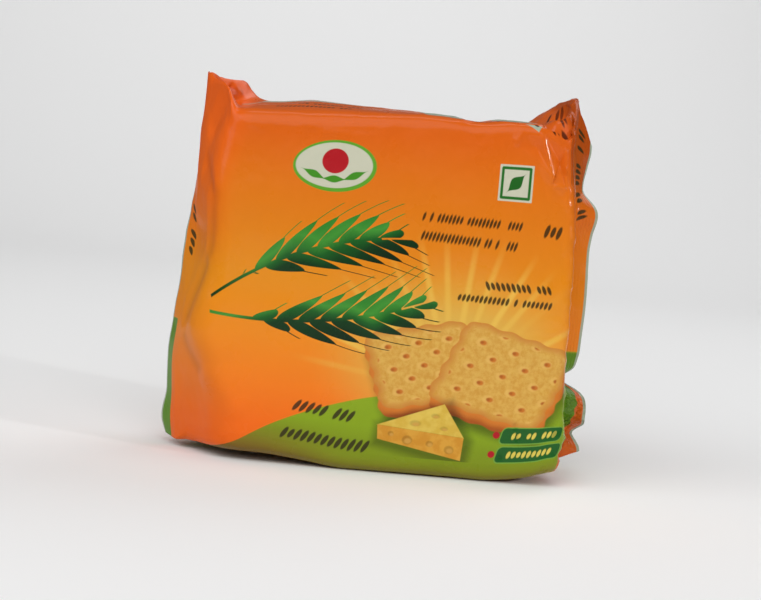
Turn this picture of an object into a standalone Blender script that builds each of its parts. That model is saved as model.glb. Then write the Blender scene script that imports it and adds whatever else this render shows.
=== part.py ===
"""A shut flow-wrapped pack of cheese crackers, standing on its long side.

The finished solid is in metres, +Z is up, the printed front faces -Y and +X is the pack's
right-hand side. The origin lies on the flat patch that the pack stands on, under its middle.
Every length in this file is in millimetres until the solid is made.

The wrapper is one tube of film round a brick of crackers. Each end of the tube is pressed flat
into a crimped fin that stands upright. The spare film at the corners sticks up as ears. The
solid is lofted: a section runs round the pack, and the sections change along the pack from a
rounded box into a thin upright strip. A place on the film is given by how far out along one
half of the pack it lies, and by how far round the pack it lies.
"""

import bmesh
import bpy
import numpy as np

METRES = 0.001

# Film and edges
NOMINAL_HEIGHT = 110
TOP_EDGE_RADIUS = 4
BOTTOM_EDGE_RADIUS = 6
FIN_WIDTH = 8
FIN_THICKNESS = 0.9
FIN_ROOT_RADIUS = 1.8
PANEL_BULGE = 1.2

# The lap seam that runs along the back panel
SEAM_LOW = 49
SEAM_HIGH = 60
SEAM_THICKNESS = 0.9
SEAM_EDGE = 0.5

# Columns along one half of the pack, for each stretch from the middle to the fin's edge
COLUMNS = {"brick": 11, "corner": 4, "closure": 7, "root": 2, "fin": 4}
# Rows up a side, between these heights
SIDE_BANDS = ((6, 40, 14), (40, 48.4, 3), (48.4, 60.6, 5), (60.6, 80, 5), (80, 106, 9))
EDGE_ROWS = 3
CAP_ROWS = 11

FILM_COLOUR = (0.84, 0.27, 0.04, 1.0)
FILM_ROUGHNESS = 0.3


def profile(*points):
    """A smooth curve through (position, value) points that never overshoots them."""
    places, values = np.array(points, float).T
    steepness = np.diff(values) / np.diff(places)
    before, after = steepness[:-1], steepness[1:]
    same_way = before * after > 0
    total = np.where(same_way, before + after, 1.0)
    slopes = np.zeros(len(places))
    slopes[1:-1] = np.where(same_way, 2 * before * after / total, 0.0)

    def curve(position):
        position = np.clip(position, places[0], places[-1])
        index = np.clip(np.searchsorted(places, position, side="right") - 1, 0, len(places) - 2)
        width = places[index + 1] - places[index]
        share = (position - places[index]) / width
        rest = 1 - share
        ends = values[index] * (1 + 2 * share) * rest**2
        ends += values[index + 1] * (1 + 2 * rest) * share**2
        return ends + width * share * rest * (slopes[index] * rest - slopes[index + 1] * share)

    return curve


def step(value, start, end):
    """0 before the start and 1 past the end, with a smooth rise between."""
    share = np.clip((value - start) / (end - start), 0.0, 1.0)
    return share * share * (3 - 2 * share)


def mix(first, second, share):
    return first + (second - first) * share


def bend(first, corner, last, share):
    """A point on the round corner that leaves the first point and ends at the last."""
    return (1 - share) ** 2 * first + 2 * share * (1 - share) * corner + share**2 * last


# Heights of the film along the pack: the front fold, the middle of the top, the back fold, the bottom
FRONT_TOP = profile(
    (-61, 117), (-57, 116), (-54.5, 113.5), (-53, 109), (-51.5, 106.9), (-48, 106.7), (-37, 107.2),
    (-20, 108.6), (-3, 109.9), (10, 110.6), (20, 110.3), (30, 111.2), (40, 111.6), (46, 110),
    (50, 107.2), (51.5, 108), (54.5, 120.7),
)
MIDDLE_TOP = profile(
    (-61, 117), (-58, 114.5), (-54, 110), (-50, 108), (-46, 108.6), (-43, 109.6), (-38, 110.1),
    (-27, 111.4), (-13, 111.3), (0, 111.5), (15, 111), (20.5, 109.6), (22.5, 109.6), (32, 111.3),
    (38, 111.2), (43, 111.2), (47.6, 114.9), (54.5, 120.7),
)
BACK_TOP = profile(
    (-61, 117), (-50, 117.6), (-46.5, 114), (-43.5, 110.8), (-38, 109.4), (-20, 109.8), (0, 110),
    (20, 108.8), (40, 110), (47, 112), (54.5, 120.7),
)
BOTTOM = profile(
    (-63, 2), (-52, 3.1), (-35, 2.7), (-22, 1.6), (-8, 0), (33, 0), (41, 0.7), (48.5, 2),
    (53, 3.6), (57, 4.4), (60, 3),
)

# Half the pack's depth at each height
HALF_DEPTH = profile((0, 24.3), (60, 24.2), (112, 23))


class End:
    """One end of the pack. Each profile gives a place along x, or a turn, at a height."""

    def __init__(self, side, edge_radius, front_edge, back_edge, root, root_depth, turn, corners):
        self.side = side
        self.edge_radius = edge_radius
        self.edges = {"front": front_edge, "back": back_edge}
        self.root = root
        self.root_depth = root_depth
        self.turn = turn
        self.top_drop, self.foot_rise = corners


LEFT = End(
    side=-1,
    edge_radius=7,
    front_edge=profile(
        (0, -48), (8, -47.5), (16, -48.5), (28, -53), (40, -58), (48, -57), (60, -55.2), (68, -55.4),
        (82, -56.6), (98, -54.4), (106, -53),
    ),
    back_edge=profile((0, -50), (20, -53), (80, -53), (104, -48), (112, -44)),
    root=profile(
        (0, -61), (12, -62), (30, -63.2), (45, -62.2), (58, -60.5), (66, -59.5), (77, -61),
        (90, -61.3), (117, -61),
    ),
    root_depth=profile((0, -4), (40, -5), (80, -2), (117, 0)),
    turn=profile(
        (0, 1.3), (8, 1.1), (18, 1.3), (30, 1.28), (46, 1.35), (58, 1.2), (66, 1.13), (74, 1.4),
        (84, 1.55), (117, 1.6),
    ),
    corners=(-0.4, 0.6),
)

RIGHT = End(
    side=1,
    edge_radius=3.2,
    front_edge=profile(
        (0, 57), (6, 58), (14, 58.4), (23, 57.5), (40, 56.6), (54, 56.4), (77, 55.2), (92, 53.8),
        (105, 51.6),
    ),
    back_edge=profile((0, 53), (10, 55), (80, 54), (104, 50.5), (112, 47)),
    root=profile(
        (0, 59), (10, 59.4), (22, 59.6), (31, 58.8), (40, 57.6), (58, 57.6), (73, 57.4), (84, 58),
        (92, 57.2), (104, 56), (121, 54.8),
    ),
    root_depth=profile((0, -3), (22, -6), (32, -2), (42, 0), (121, 0)),
    turn=profile(
        (0, 0.3), (9, -0.1), (14.5, 0.75), (20.5, -0.3), (26, 0), (31, 1.3), (36, 0.6), (41, 0.3),
        (58, 0.25), (73, 0.35), (78, 0.35), (84, 0.1), (92, 1.05), (99, 0.8), (105, 0.6), (121, 0.6),
    ),
    corners=(14.5, 6),
)


def plan(end, face, out, z):
    """Where the front or back film lies, seen from above, as x + 1j * y."""
    facing = -1 if face == "front" else 1
    edge = end.edges[face](z) + 1j * facing * HALF_DEPTH(z)
    turn = end.turn(z)
    fin_way = end.side * np.cos(turn) + 1j * np.sin(turn)
    fin_front = end.side * np.sin(turn) - 1j * np.cos(turn)
    root = end.root(z) + 1j * end.root_depth(z) - facing * fin_front * FIN_THICKNESS / 2
    closure_way = (root - edge) / abs(root - edge)
    leaving_brick = edge - end.side * end.edge_radius
    on_closure = edge + closure_way * end.edge_radius
    near_root = root - closure_way * FIN_ROOT_RADIUS
    on_fin = root + fin_way * FIN_ROOT_RADIUS
    fin_edge = root + fin_way * FIN_WIDTH
    share = out - np.minimum(np.floor(out), 4)
    brick = leaving_brick.real * share + 1j * leaving_brick.imag
    brick = brick + 1j * facing * PANEL_BULGE * (1 - share**4) * step(z, 0, 30) * step(z, 112, 85)
    stretches = (
        brick,
        bend(leaving_brick, edge, on_closure, share),
        mix(on_closure, near_root, share),
        bend(near_root, root, on_fin, share),
        mix(on_fin, fin_edge, share),
    )
    return np.select([out < 1, out < 2, out < 3, out < 4], stretches[:4], stretches[4])


def fold_heights(end, face, out):
    """Heights of the film's bottom and top folds on one face."""
    on_fin = np.clip((out - 3) / 2, 0, 1)
    x_top = plan(end, face, np.minimum(out, 3), NOMINAL_HEIGHT).real
    x_bottom = plan(end, face, np.minimum(out, 3), 0).real
    top = (FRONT_TOP if face == "front" else BACK_TOP)(x_top)
    return BOTTOM(x_bottom) + end.foot_rise * on_fin, top - end.top_drop * on_fin**1.6


def side_point(end, face, out, share):
    """Points of the front or back film. The share is 0 at the bottom fold and 1 at the top fold."""
    low, high = fold_heights(end, face, out)
    z = NOMINAL_HEIGHT * share
    z = z + low * step(share, 0.3, 0) + (high - NOMINAL_HEIGHT) * step(share, 0.68, 1)
    place = plan(end, face, out, z)
    if face == "back":
        seam = step(z, SEAM_LOW - SEAM_EDGE, SEAM_LOW) * step(z, SEAM_HIGH + SEAM_EDGE, SEAM_HIGH)
        place = place + 1j * SEAM_THICKNESS * seam * step(out, 2.9, 2.2)
    return np.stack(np.broadcast_arrays(place.real, place.imag, z), -1)


def cap_point(end, level, out, across):
    """Points of the top or bottom film. The share across is 0 at the front and 1 at the back."""
    share = 1.0 if level == "top" else 0.0
    front = side_point(end, "front", out, share)
    back = side_point(end, "back", out, share)
    point = mix(front, back, across[..., None])
    if level == "top":
        arch = 1 - abs(2 * across - 1) ** 2.2
        middle = MIDDLE_TOP((front[..., 0] + back[..., 0]) / 2)
        lift = (middle - (front[..., 2] + back[..., 2]) / 2) * step(out, 3, 2.7)
        point[..., 2] += lift * arch
    return point


def edge_cut(end, level, out):
    """How far the round along a fold reaches on each film."""
    share = 1.0 if level == "top" else 0.0
    gap = side_point(end, "back", out, share) - side_point(end, "front", out, share)
    depth = np.hypot(gap[..., 0], gap[..., 1])
    return np.minimum(TOP_EDGE_RADIUS if level == "top" else BOTTOM_EDGE_RADIUS, 0.4 * depth), depth


def side_shares(end, out):
    """Row heights up a side as shares, kept clear of the rounds at the top and bottom."""
    low_cut, _ = edge_cut(end, "bottom", out)
    high_cut, _ = edge_cut(end, "top", out)
    heights = [np.linspace(a, b, count, endpoint=False) for a, b, count in SIDE_BANDS]
    heights = np.concatenate(heights + [[SIDE_BANDS[-1][1]]])
    first, last = heights[0], heights[-1]
    near_foot = step(heights, 30, first)
    near_top = step(heights, 82, last)
    heights = heights + (low_cut - first) * near_foot + (NOMINAL_HEIGHT - high_cut - last) * near_top
    return heights / NOMINAL_HEIGHT


def sections(end, out):
    """Closed loops of points, one for each column: up the front, over the top and down the back."""
    out = np.asarray(out, float)[:, None]
    shares = side_shares(end, out)
    turn = np.linspace(0, 1, EDGE_ROWS + 2)[1:-1][None, :, None]
    loops = []
    for face, other, level in (("front", "back", "top"), ("back", "front", "bottom")):
        upward = face == "front"
        cut, depth = edge_cut(end, level, out)
        across = mix(cut / depth, 1 - cut / depth, np.linspace(0, 1, CAP_ROWS))
        side = side_point(end, face, out, shares if upward else shares[:, ::-1])
        next_side = side_point(end, other, out, shares if not upward else shares[:, ::-1])
        cap = cap_point(end, level, out, across if upward else across[:, ::-1])
        near = side_point(end, face, out, 1.0 if upward else 0.0)
        far = side_point(end, other, out, 1.0 if upward else 0.0)
        loops += [
            side,
            bend(side[:, -1:], near, cap[:, :1], turn),
            cap,
            bend(cap[:, -1:], far, next_side[:, :1], turn),
        ]
    return np.concatenate(loops, axis=1)


def outward_places():
    """How far out each column lies, stretch by stretch, from the middle to the fin's edge."""
    places = [k + np.linspace(0, 1, count, endpoint=False) for k, count in enumerate(COLUMNS.values())]
    return np.concatenate(places + [[len(COLUMNS)]])


def build_solid(grid):
    """One closed mesh from the grid of sections. The fin edges are closed front to back."""
    mesh = bmesh.new()
    corners = [[mesh.verts.new(point) for point in loop] for loop in grid]
    row_count = len(corners[0])
    for here, there in zip(corners[:-1], corners[1:]):
        for j in range(row_count):
            k = (j + 1) % row_count
            mesh.faces.new((here[j], there[j], there[k], here[k]))
    half = row_count // 2
    top_middle = half - EDGE_ROWS - 1 - CAP_ROWS // 2
    for loop in (corners[0], corners[-1]):
        pairs = [(loop[(top_middle - k) % row_count], loop[(top_middle + k) % row_count]) for k in range(half + 1)]
        for (a, b), (c, d) in zip(pairs[:-1], pairs[1:]):
            around = []
            for corner in (a, b, d, c):
                if corner not in around:
                    around.append(corner)
            mesh.faces.new(around)
    bmesh.ops.recalc_face_normals(mesh, faces=mesh.faces[:])
    return mesh


def film_material():
    material = bpy.data.materials.new("printed_film")
    material.use_nodes = True
    shader = material.node_tree.nodes["Principled BSDF"]
    shader.inputs["Base Color"].default_value = FILM_COLOUR
    shader.inputs["Roughness"].default_value = FILM_ROUGHNESS
    return material


def main():
    for old in list(bpy.data.objects):
        bpy.data.objects.remove(old)
    places = outward_places()
    left = sections(LEFT, places[::-1])
    right = sections(RIGHT, places[1:])
    mesh = build_solid(np.concatenate([left, right]) * METRES)
    data = bpy.data.meshes.new("cracker_pack")
    mesh.to_mesh(data)
    mesh.free()
    data.materials.append(film_material())
    pack = bpy.data.objects.new("cracker_pack", data)
    bpy.context.scene.collection.objects.link(pack)


main()
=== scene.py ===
import inspect
import math
from functools import partial, reduce
from types import SimpleNamespace

import bpy
import numpy as np
from mathutils import Matrix, Vector


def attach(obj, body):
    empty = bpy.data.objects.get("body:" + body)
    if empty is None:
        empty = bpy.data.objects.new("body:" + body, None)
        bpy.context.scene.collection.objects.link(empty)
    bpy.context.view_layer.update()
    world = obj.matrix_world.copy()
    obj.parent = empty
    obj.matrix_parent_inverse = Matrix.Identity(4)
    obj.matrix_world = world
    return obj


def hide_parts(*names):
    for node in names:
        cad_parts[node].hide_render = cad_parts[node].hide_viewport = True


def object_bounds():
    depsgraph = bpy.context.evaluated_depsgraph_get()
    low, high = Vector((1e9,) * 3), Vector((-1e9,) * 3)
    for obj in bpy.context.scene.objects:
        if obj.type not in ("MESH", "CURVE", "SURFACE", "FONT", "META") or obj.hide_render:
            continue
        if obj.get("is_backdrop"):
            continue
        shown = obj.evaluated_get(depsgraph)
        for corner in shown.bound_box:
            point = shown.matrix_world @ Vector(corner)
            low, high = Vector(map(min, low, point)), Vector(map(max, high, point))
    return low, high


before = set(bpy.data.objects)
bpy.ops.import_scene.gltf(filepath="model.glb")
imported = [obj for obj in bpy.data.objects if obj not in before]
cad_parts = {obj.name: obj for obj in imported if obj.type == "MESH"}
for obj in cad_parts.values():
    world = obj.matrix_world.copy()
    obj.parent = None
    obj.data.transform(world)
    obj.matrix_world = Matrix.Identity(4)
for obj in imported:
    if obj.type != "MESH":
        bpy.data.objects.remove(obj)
cad_box = [list(corner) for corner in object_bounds()]

# One millimetre in metres. Lengths are in millimetres, except for the camera and the lamps.
MILLIMETRE = 0.001

# The pack, its edges and its end fins
NOMINAL_HEIGHT = 110
NOMINAL_DEPTH = 48
TOP_EDGE_RADIUS = 4
BOTTOM_EDGE_RADIUS = 6
FIN_WIDTH = 8
FIN_THICKNESS = 0.4
FIN_ROOT_RADIUS = 1.8
CRIMP_PITCH = 1.1
# How far the front and back bulge, and the heights at which they start, are full, and stop
PANEL_BULGE = 1.2
BULGE_START = 0
FULL_BULGE = (30, 85)
BULGE_END = 112
# The shares of a side's height up to which the bottom fold is felt, and from which the top fold is
BOTTOM_REACH = 0.3
TOP_REACH = 0.68
# The largest share of the depth that the round of one edge takes up
EDGE_LIMIT = 0.4

# The way round the pack: up the front, over the top, down the back, and along the bottom
ROUND = 2 * (NOMINAL_HEIGHT + NOMINAL_DEPTH)
BACK_FOOT = 2 * NOMINAL_HEIGHT + NOMINAL_DEPTH
UNDER_MIDDLE = BACK_FOOT + NOMINAL_DEPTH / 2

# The lap seam that runs along the back panel, and the places out between which it fades
SEAM_LOW = 49
SEAM_HIGH = 60
SEAM_THICKNESS = 0.9
SEAM_EDGE = 0.5
SEAM_FADE = (2.9, 2.2)

# Places out from the middle: 0 to 1 is the front or back, 1 to 2 its round edge, 2 to 3 the closure,
# 3 to 4 the fin's root and 4 to 5 the flat fin. These are the columns in each of them.
LEFT_COLUMNS = (46, 10, 32, 6, 14)
RIGHT_COLUMNS = (74, 10, 32, 6, 14)
# How much the first columns crowd outwards
LEFT_CROWDING = 0.4
RIGHT_CROWDING = 0.75
# Rows up a side, as (lower height, upper height, number of rows), and rows of the rounds and caps
SIDE_BANDS = ((6, 22, 26), (22, 40, 18), (40, 62, 30), (62, 85, 26), (85, 106, 42))
EDGE_ROWS = 6
CAP_ROWS = 34
# The rows below the first height and above the second shift to meet the rounds
FIXED_ROWS = (30, 82)
SHARP_ANGLE = 55


def profile(*points):
    """A smooth curve through (position, value) points that never overshoots them."""
    places, values = np.array(points, float).T
    steepness = np.diff(values) / np.diff(places)
    before, after = steepness[:-1], steepness[1:]
    same_way = before * after > 0
    total = np.where(same_way, before + after, 1)
    slopes = np.zeros(len(places))
    slopes[1:-1] = np.where(same_way, 2 * before * after / total, 0)

    def curve(position):
        position = np.clip(position, places[0], places[-1])
        index = np.clip(np.searchsorted(places, position, side="right") - 1, 0, len(places) - 2)
        width = places[index + 1] - places[index]
        share = (position - places[index]) / width
        rest = 1 - share
        ends = values[index] * (1 + 2 * share) * rest**2
        ends += values[index + 1] * (1 + 2 * rest) * share**2
        return ends + width * share * rest * (slopes[index] * rest - slopes[index + 1] * share)

    return curve


def step(value, start, end):
    """0 before the start and 1 past the end, with a smooth rise between."""
    share = np.clip((value - start) / (end - start), 0, 1)
    return share * share * (3 - 2 * share)


def mix(first, second, share):
    return first + (second - first) * share


def bend(first, corner, last, share):
    """A point on the round corner that leaves the first point and ends at the last."""
    return (1 - share) ** 2 * first + 2 * share * (1 - share) * corner + share**2 * last


# Heights of the film along the pack: the front fold, the middle of the top, the back fold, the bottom
FRONT_TOP = profile(
    (-61, 117), (-57, 116.7), (-55, 114.8), (-53.2, 109.6), (-51.7, 107), (-48, 106.7), (-37, 107.2),
    (-20, 108.6), (-3, 109.9), (10, 110.6), (20, 110.3), (30, 111.2), (40, 111.6), (46, 110),
    (50, 107.2), (51.5, 108), (55.2, 120.7),
)
MIDDLE_TOP = profile(
    (-61, 117), (-58, 114.5), (-54, 110), (-50, 108), (-46, 108.6), (-43, 109.6), (-38, 110.1),
    (-27, 111.4), (-13, 111.3), (0, 111.5), (15, 111), (20.5, 109.6), (22.5, 109.6), (32, 111.3),
    (38, 111.2), (43, 111.2), (47.6, 114.9), (55.2, 120.7),
)
BACK_TOP = profile(
    (-61, 117), (-50, 117.6), (-46.5, 114), (-43.5, 110.8), (-38, 109.4), (-20, 109.8), (0, 110),
    (20, 108.8), (40, 110), (47, 112), (55.2, 120.7),
)
BOTTOM = profile(
    (-63, 2), (-52, 3.1), (-35, 2.7), (-22, 1.6), (-8, 0), (33, 0), (41, 0.7), (48.5, 2),
    (53, 3.6), (57, 4.4), (60, 3),
)

# Half the pack's depth at each height
HALF_DEPTH = profile((0, 24.3), (60, 24.2), (112, 23))


# The two ends. Each profile gives a place along x or y, or the fin's turn, at a height.
LEFT = SimpleNamespace(
    side=-1,
    edge_radius=7,
    edges={
        "front": profile(
            (0, -48), (8, -47.5), (16, -48.5), (28, -53), (40, -58), (48, -57), (60, -55.2),
            (68, -55.4), (82, -56.6), (98, -54.4), (106, -53),
        ),
        "back": profile((0, -50), (20, -53), (80, -53), (104, -48), (112, -44)),
    },
    root=profile(
        (0, -61), (12, -62), (30, -63.2), (45, -62.2), (58, -60.5), (66, -59.5), (77, -61),
        (90, -61.3), (117, -61),
    ),
    root_depth=profile((0, -4), (40, -5), (80, -2), (117, 0)),
    turn=profile(
        (0, 1.3), (8, 1.1), (18, 1.3), (30, 1.28), (46, 1.35), (58, 1.2), (66, 1.13), (74, 1.4),
        (84, 1.55), (117, 1.6),
    ),
    top_drop=-0.4,
    foot_rise=0.6,
)

RIGHT = SimpleNamespace(
    side=1,
    edge_radius=3.2,
    edges={
        "front": profile(
            (0, 57), (6, 58), (14, 58.4), (23, 57.5), (40, 56.6), (54, 56.4), (77, 55.2),
            (92, 53.8), (105, 51.6),
        ),
        "back": profile((0, 53), (10, 55), (80, 54), (104, 50.5), (112, 47)),
    },
    root=profile(
        (0, 59), (10, 59.4), (22, 59.6), (31, 58.8), (40, 57.6), (58, 57.6), (73, 57.4), (84, 58),
        (92, 57.2), (104, 56), (121, 55.5),
    ),
    root_depth=profile((0, -3), (22, -6), (32, -2), (42, 0), (121, 0)),
    turn=profile(
        (0, 0.3), (9, -0.1), (14.5, 0.75), (20.5, -0.3), (26, 0), (31, 1.3), (36, 0.6), (41, 0.3),
        (58, 0.25), (73, 0.35), (78, 0.35), (84, 0.1), (92, 1.05), (99, 0.8), (105, 0.6),
        (121, 0.6),
    ),
    top_drop=14.5,
    foot_rise=6,
)


def plan(end, face, out, z):
    """Where the front or back film lies, seen from above, as x + 1j * y."""
    facing = -1 if face == "front" else 1
    edge = end.edges[face](z) + 1j * facing * HALF_DEPTH(z)
    turn = end.turn(z)
    fin_way = end.side * np.cos(turn) + 1j * np.sin(turn)
    fin_front = end.side * np.sin(turn) - 1j * np.cos(turn)
    root = end.root(z) + 1j * end.root_depth(z) - facing * fin_front * FIN_THICKNESS / 2
    closure_way = (root - edge) / abs(root - edge)
    leaving_brick = edge - end.side * end.edge_radius
    on_closure = edge + closure_way * end.edge_radius
    near_root = root - closure_way * FIN_ROOT_RADIUS
    on_fin = root + fin_way * FIN_ROOT_RADIUS
    fin_edge = root + fin_way * FIN_WIDTH
    share = out - np.minimum(np.floor(out), 4)
    bulge = PANEL_BULGE * (1 - share**4) * step(z, BULGE_START, FULL_BULGE[0])
    bulge = bulge * step(z, BULGE_END, FULL_BULGE[1])
    brick = leaving_brick.real * share + 1j * (leaving_brick.imag + facing * bulge)
    stretches = (
        brick,
        bend(leaving_brick, edge, on_closure, share),
        mix(on_closure, near_root, share),
        bend(near_root, root, on_fin, share),
        mix(on_fin, fin_edge, share),
    )
    return np.select([out < 1, out < 2, out < 3, out < 4], stretches[:4], stretches[4])


def fold_heights(end, face, out):
    """Heights of the film's bottom and top folds on one face."""
    on_fin = np.clip((out - 3) / 2, 0, 1)
    x_top = plan(end, face, np.minimum(out, 3), NOMINAL_HEIGHT).real
    x_bottom = plan(end, face, np.minimum(out, 3), 0).real
    top = (FRONT_TOP if face == "front" else BACK_TOP)(x_top)
    return BOTTOM(x_bottom) + end.foot_rise * on_fin, top - end.top_drop * on_fin**1.6


def side_point(end, face, out, share):
    """Points of the front or back film. The share is 0 at the bottom fold and 1 at the top."""
    low, high = fold_heights(end, face, out)
    z = NOMINAL_HEIGHT * share
    z = z + low * step(share, BOTTOM_REACH, 0) + (high - NOMINAL_HEIGHT) * step(share, TOP_REACH, 1)
    place = plan(end, face, out, z)
    if face == "back":
        seam = step(z, SEAM_LOW - SEAM_EDGE, SEAM_LOW) * step(z, SEAM_HIGH + SEAM_EDGE, SEAM_HIGH)
        place = place + 1j * SEAM_THICKNESS * seam * step(out, *SEAM_FADE)
    return np.stack(np.broadcast_arrays(place.real, place.imag, z), -1)


def cap_point(end, level, out, across):
    """Points of the top or bottom film. The share across is 0 at the front and 1 at the back."""
    share = 1 if level == "top" else 0
    front = side_point(end, "front", out, share)
    back = side_point(end, "back", out, share)
    point = mix(front, back, across[..., None])
    if level == "top":
        arch = 1 - abs(2 * across - 1) ** 2.2
        middle = MIDDLE_TOP((front[..., 0] + back[..., 0]) / 2)
        lift = (middle - (front[..., 2] + back[..., 2]) / 2) * step(out, 3, 2.7)
        point[..., 2] += lift * arch
    return point


def edge_cut(end, level, out):
    """How far the round along a fold reaches on each film."""
    share = 1 if level == "top" else 0
    gap = side_point(end, "back", out, share) - side_point(end, "front", out, share)
    depth = np.hypot(gap[..., 0], gap[..., 1])
    radius = TOP_EDGE_RADIUS if level == "top" else BOTTOM_EDGE_RADIUS
    return np.minimum(radius, EDGE_LIMIT * depth), depth


def side_shares(end, out):
    """Row heights up a side as shares, kept clear of the rounds at the top and bottom."""
    low_cut, _ = edge_cut(end, "bottom", out)
    high_cut, _ = edge_cut(end, "top", out)
    heights = [np.linspace(a, b, count, endpoint=False) for a, b, count in SIDE_BANDS]
    heights = np.concatenate(heights + [[SIDE_BANDS[-1][1]]])
    first, last = heights[0], heights[-1]
    near_foot = step(heights, FIXED_ROWS[0], first)
    near_top = step(heights, FIXED_ROWS[1], last)
    heights = heights + (low_cut - first) * near_foot + (NOMINAL_HEIGHT - high_cut - last) * near_top
    return heights / NOMINAL_HEIGHT


def sections(end, out):
    """Closed loops of points, one for each column, and how far round the pack each point lies.

    A loop goes up the front, over the top, down the back and along the bottom.
    """
    out = np.asarray(out, float)[:, None]
    shares = side_shares(end, out)
    turn = np.linspace(0, 1, EDGE_ROWS + 2)[1:-1][None, :, None]
    loops = []
    around = []
    start = 0
    for face, other, level, way in (("front", "back", "top", 1), ("back", "front", "bottom", -1)):
        cut, depth = edge_cut(end, level, out)
        across = mix(cut / depth, 1 - cut / depth, np.linspace(0, 1, CAP_ROWS))
        passed = shares[:, ::way]
        side = side_point(end, face, out, passed)
        next_side = side_point(end, other, out, shares[:, ::-way])
        cap = cap_point(end, level, out, across[:, ::way])
        near, far = (side_point(end, name, out, 1.0 if way > 0 else 0.0) for name in (face, other))
        loops += [
            side,
            bend(side[:, -1:], near, cap[:, :1], turn),
            cap,
            bend(cap[:, -1:], far, next_side[:, :1], turn),
        ]
        climbed = start + NOMINAL_HEIGHT * (passed if way > 0 else 1 - passed)
        fold = start + NOMINAL_HEIGHT
        crossed = fold + NOMINAL_DEPTH * across
        start = fold + NOMINAL_DEPTH
        around += [
            climbed,
            mix(climbed[:, -1:], crossed[:, :1], turn[..., 0]),
            crossed,
            mix(crossed[:, -1:], start + cut, turn[..., 0]),
        ]
    return np.concatenate(loops, axis=1), np.concatenate(around, axis=1)


def outward_places(columns, crowding):
    """How far out each column lies, from the middle to the fin's edge."""
    places = []
    for k, count in enumerate(columns):
        share = np.linspace(0, 1, count, endpoint=False)
        if k == 0:
            share = (1 + crowding) * share - crowding * share**2
        places.append(k + share)
    return np.concatenate(places + [[len(columns)]])


def film_grid():
    """The film as a grid: points, the film's length from the middle, its height round the pack,
    and how far out each column lies, below zero on the left."""
    left_places = outward_places(LEFT_COLUMNS, LEFT_CROWDING)
    right_places = outward_places(RIGHT_COLUMNS, RIGHT_CROWDING)
    left, left_around = sections(LEFT, left_places[::-1])
    right, right_around = sections(RIGHT, right_places[1:])
    points = np.concatenate([left, right])
    around = np.concatenate([left_around, right_around])
    outward = np.concatenate([-left_places[::-1], right_places[1:]])
    lengths = np.linalg.norm(np.diff(points, axis=0), axis=2)
    along = np.concatenate([np.zeros((1, points.shape[1])), np.cumsum(lengths, axis=0)])
    along -= along[len(left_places) - 1]
    return points, along, around, np.broadcast_to(outward[:, None], around.shape)


def outward_normals(points):
    """Unit directions out of the film at every point of the grid."""
    lengthwise = np.gradient(points, axis=0)
    ring = (np.roll(points, -1, axis=1) - np.roll(points, 1, axis=1)) / 2
    normal = np.cross(lengthwise, ring)
    return normal / np.maximum(np.linalg.norm(normal, axis=2, keepdims=True), 1e-9)


# Creases, dents and unevenness of the film, along the outward direction

LATTICE = 64


class Unevenness:
    """Smooth random heights between -1 and 1, the same on every run."""

    def __init__(self, seed):
        self.heights = np.random.default_rng(seed).uniform(-1, 1, (LATTICE, LATTICE))

    def __call__(self, a, b):
        i, j = np.floor(a).astype(int), np.floor(b).astype(int)
        p, q = a - i, b - j
        p, q = p * p * (3 - 2 * p), q * q * (3 - 2 * q)
        low_i, high_i, low_j, high_j = i % LATTICE, (i + 1) % LATTICE, j % LATTICE, (j + 1) % LATTICE
        near = mix(self.heights[low_i, low_j], self.heights[high_i, low_j], p)
        far = mix(self.heights[low_i, high_j], self.heights[high_i, high_j], p)
        return mix(near, far, q)

    def folds(self, a, b, sharpness=3.2):
        """Sharp ridges along the places where the heights change sign, from 0 up to 1."""
        return 1 - np.minimum(abs(self(a, b)) * sharpness, 1)


def crease(u, v, start, end, width, height):
    """A ridge, or a valley if the height is below zero, that fades out at both of its ends."""
    run = np.subtract(end, start)
    x, y = u - start[0], v - start[1]
    share = np.clip((x * run[0] + y * run[1]) / (run @ run), 0, 1)
    distance = np.hypot(x - share * run[0], y - share * run[1])
    section = np.maximum(1 - distance / width, 0)
    section = mix(section, section * section * (3 - 2 * section), 0.5)
    return height * section * step(share, 0, 0.2) * step(share, 1, 0.8)


def facets(u, v, places, fans):
    """Flat facets between places given as (u, v, height). A fan names its middle, then its rim."""
    height = np.zeros(np.shape(u))
    for middle, *rim in fans:
        for first_name, second_name in zip(rim, rim[1:]):
            corners = (places[first_name], places[second_name], places[middle])
            (u0, v0, h0), (u1, v1, h1), (u2, v2, h2) = corners
            area = (u1 - u0) * (v2 - v0) - (u2 - u0) * (v1 - v0)
            second = ((u - u0) * (v2 - v0) - (u2 - u0) * (v - v0)) / area
            third = ((u1 - u0) * (v - v0) - (u - u0) * (v1 - v0)) / area
            first = 1 - second - third
            inside = np.minimum(np.minimum(first, second), third) >= 0
            height = np.where(inside, h0 * first + h1 * second + h2 * third, height)
    return height


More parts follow.
